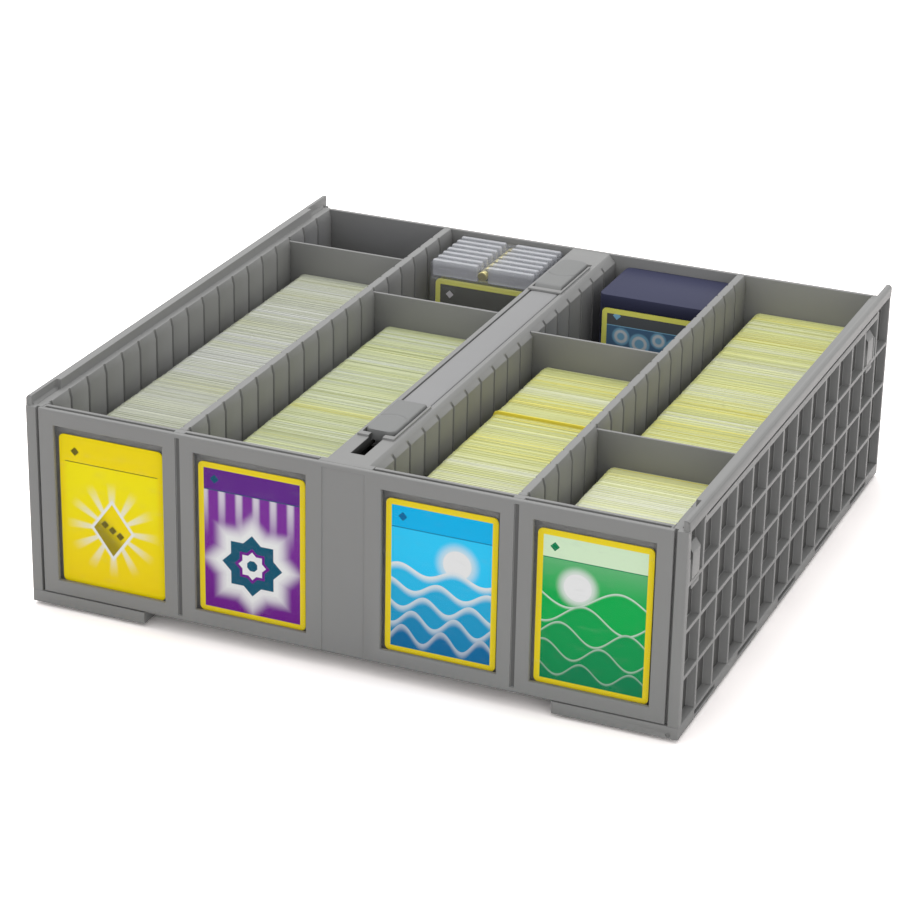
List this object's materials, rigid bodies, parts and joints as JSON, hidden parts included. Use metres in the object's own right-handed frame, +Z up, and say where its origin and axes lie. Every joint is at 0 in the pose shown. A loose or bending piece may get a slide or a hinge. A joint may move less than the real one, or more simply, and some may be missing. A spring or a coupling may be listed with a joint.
{
  "type": "card storage bin",
  "caption": "Open-top storage bin for trading cards with ribbed lane walls, loose dividers, label windows in front and a carrying strap on the spine, filled with cards and cases.",
  "frame": {"origin": "middle of the footprint, at the bottom of the foot pads", "axes": "+X to the right seen from the front, +Y from the label windows to the back, +Z up"},
  "size_m": [0.378, 0.3716, 0.125],
  "materials": {
    "bin_plastic": "fine moulded texture",
    "strap": "soft matt",
    "divider": "fine moulded texture",
    "card_stock": "cut edges of coated card",
    "label_print": "coated print",
    "clear_sleeve": "clear, polished",
    "clear_case": "clear, polished",
    "magnet": "gold-coloured plating",
    "navy_sleeve": "smooth",
    "deck_plastic": "satin"
  },
  "bodies": {
    "bin": {"base": "bin_plastic", "side_wall_left": "bin_plastic", "side_wall_right": "bin_plastic", "front_panel": "bin_plastic", "front_liner_left": "bin_plastic", "front_liner_right": "bin_plastic", "back_panel": "bin_plastic", "lane_wall_left": "bin_plastic", "lane_wall_right": "bin_plastic", "spine": "bin_plastic", "strap_front_end": "strap", "strap_rear_end": "strap"},
    "strap_middle": {"strap_grip": "strap"},
    "divider_1_plate": {"divider_1": "divider"},
    "divider_2_plate": {"divider_2": "divider"},
    "divider_3_plate": {"divider_3": "divider"},
    "divider_4_plate": {"divider_4": "divider"},
    "label_1": {"label_sleeve_1": "clear_sleeve", "label_card_1": "label_print"},
    "label_2": {"label_sleeve_2": "clear_sleeve", "label_card_2": "label_print"},
    "label_3": {"label_sleeve_3": "clear_sleeve", "label_card_3": "label_print"},
    "label_4": {"label_sleeve_4": "clear_sleeve", "label_card_4": "label_print"},
    "cards_lane_1_row": {"cards_lane_1": "card_stock"},
    "cards_lane_2_row": {"cards_lane_2": "card_stock"},
    "cards_lane_3_front_row": {"cards_lane_3_front": "card_stock"},
    "cards_lane_3_rear_row": {"cards_lane_3_rear": "card_stock"},
    "cards_lane_4_front_row": {"cards_lane_4_front": "card_stock"},
    "cards_lane_4_rear_row": {"cards_lane_4_rear": "card_stock"},
    "index_card": {"index_card_lane_3": "card_stock"},
    "sleeved_pack": {"sleeved_pack_lane_1": "navy_sleeve"},
    "case_1": {"card_case_1": "clear_case", "case_magnet_1": "magnet", "case_card_1": "label_print"},
    "case_2": {"card_case_2": "clear_case", "case_magnet_2": "magnet", "case_card_2": "label_print"},
    "case_3": {"card_case_3": "clear_case", "case_magnet_3": "magnet", "case_card_3": "label_print"},
    "case_4": {"card_case_4": "clear_case", "case_magnet_4": "magnet", "case_card_4": "label_print"},
    "case_5": {"card_case_5": "clear_case", "case_magnet_5": "magnet", "case_card_5": "label_print"},
    "case_6": {"card_case_6": "clear_case", "case_magnet_6": "magnet", "case_card_6": "label_print"},
    "case_7": {"card_case_7": "clear_case", "case_magnet_7": "magnet", "case_card_7": "label_print"},
    "deck_box_body": {"deck_box": "deck_plastic", "deck_box_card": "label_print"},
    "deck_box_cap": {"deck_box_lid": "deck_plastic"}
  },
  "joints": [
    {"name": "strap_lift", "type": "slide", "parent": "bin", "child": "strap_middle", "axis": [0, 0, 1], "range_m": [0, 0.025]},
    {"name": "divider_1_lift", "type": "slide", "parent": "bin", "child": "divider_1_plate", "axis": [0, 0, 1], "range_m": [0, 0.12]},
    {"name": "divider_2_lift", "type": "slide", "parent": "bin", "child": "divider_2_plate", "axis": [0, 0, 1], "range_m": [0, 0.12]},
    {"name": "divider_3_lift", "type": "slide", "parent": "bin", "child": "divider_3_plate", "axis": [0, 0, 1], "range_m": [0, 0.12]},
    {"name": "divider_4_lift", "type": "slide", "parent": "bin", "child": "divider_4_plate", "axis": [0, 0, 1], "range_m": [0, 0.12]},
    {"name": "label_1_lift", "type": "slide", "parent": "bin", "child": "label_1", "axis": [0, 0, 1], "range_m": [0, 0.11]},
    {"name": "label_2_lift", "type": "slide", "parent": "bin", "child": "label_2", "axis": [0, 0, 1], "range_m": [0, 0.11]},
    {"name": "label_3_lift", "type": "slide", "parent": "bin", "child": "label_3", "axis": [0, 0, 1], "range_m": [0, 0.11]},
    {"name": "label_4_lift", "type": "slide", "parent": "bin", "child": "label_4", "axis": [0, 0, 1], "range_m": [0, 0.11]},
    {"name": "cards_lane_1_lift", "type": "slide", "parent": "bin", "child": "cards_lane_1_row", "axis": [0, 0, 1], "range_m": [0, 0.12]},
    {"name": "cards_lane_2_lift", "type": "slide", "parent": "bin", "child": "cards_lane_2_row", "axis": [0, 0, 1], "range_m": [0, 0.12]},
    {"name": "cards_lane_3_front_lift", "type": "slide", "parent": "bin", "child": "cards_lane_3_front_row", "axis": [0, 0, 1], "range_m": [0, 0.12]},
    {"name": "cards_lane_3_rear_lift", "type": "slide", "parent": "bin", "child": "cards_lane_3_rear_row", "axis": [0, 0, 1], "range_m": [0, 0.12]},
    {"name": "cards_lane_4_front_lift", "type": "slide", "parent": "bin", "child": "cards_lane_4_front_row", "axis": [0, 0, 1], "range_m": [0, 0.12]},
    {"name": "cards_lane_4_rear_lift", "type": "slide", "parent": "bin", "child": "cards_lane_4_rear_row", "axis": [0, 0, 1], "range_m": [0, 0.12]},
    {"name": "index_card_lift", "type": "slide", "parent": "bin", "child": "index_card", "axis": [0, 0, 1], "range_m": [0, 0.12]},
    {"name": "sleeved_pack_lift", "type": "slide", "parent": "bin", "child": "sleeved_pack", "axis": [0, 0, 1], "range_m": [0, 0.12]},
    {"name": "case_1_lift", "type": "slide", "parent": "bin", "child": "case_1", "axis": [0, 0, 1], "range_m": [0, 0.12]},
    {"name": "case_2_lift", "type": "slide", "parent": "bin", "child": "case_2", "axis": [0, 0, 1], "range_m": [0, 0.12]},
    {"name": "case_3_lift", "type": "slide", "parent": "bin", "child": "case_3", "axis": [0, 0, 1], "range_m": [0, 0.12]},
    {"name": "case_4_lift", "type": "slide", "parent": "bin", "child": "case_4", "axis": [0, 0, 1], "range_m": [0, 0.12]},
    {"name": "case_5_lift", "type": "slide", "parent": "bin", "child": "case_5", "axis": [0, 0, 1], "range_m": [0, 0.12]},
    {"name": "case_6_lift", "type": "slide", "parent": "bin", "child": "case_6", "axis": [0, 0, 1], "range_m": [0, 0.12]},
    {"name": "case_7_lift", "type": "slide", "parent": "bin", "child": "case_7", "axis": [0, 0, 1], "range_m": [0, 0.12]},
    {"name": "deck_box_lift", "type": "slide", "parent": "bin", "child": "deck_box_body", "axis": [0, 0, 1], "range_m": [0, 0.12]},
    {"name": "deck_box_lid_lift", "type": "slide", "parent": "deck_box_body", "child": "deck_box_cap", "axis": [0, 0, 1], "range_m": [0, 0.03]}
  ]
}
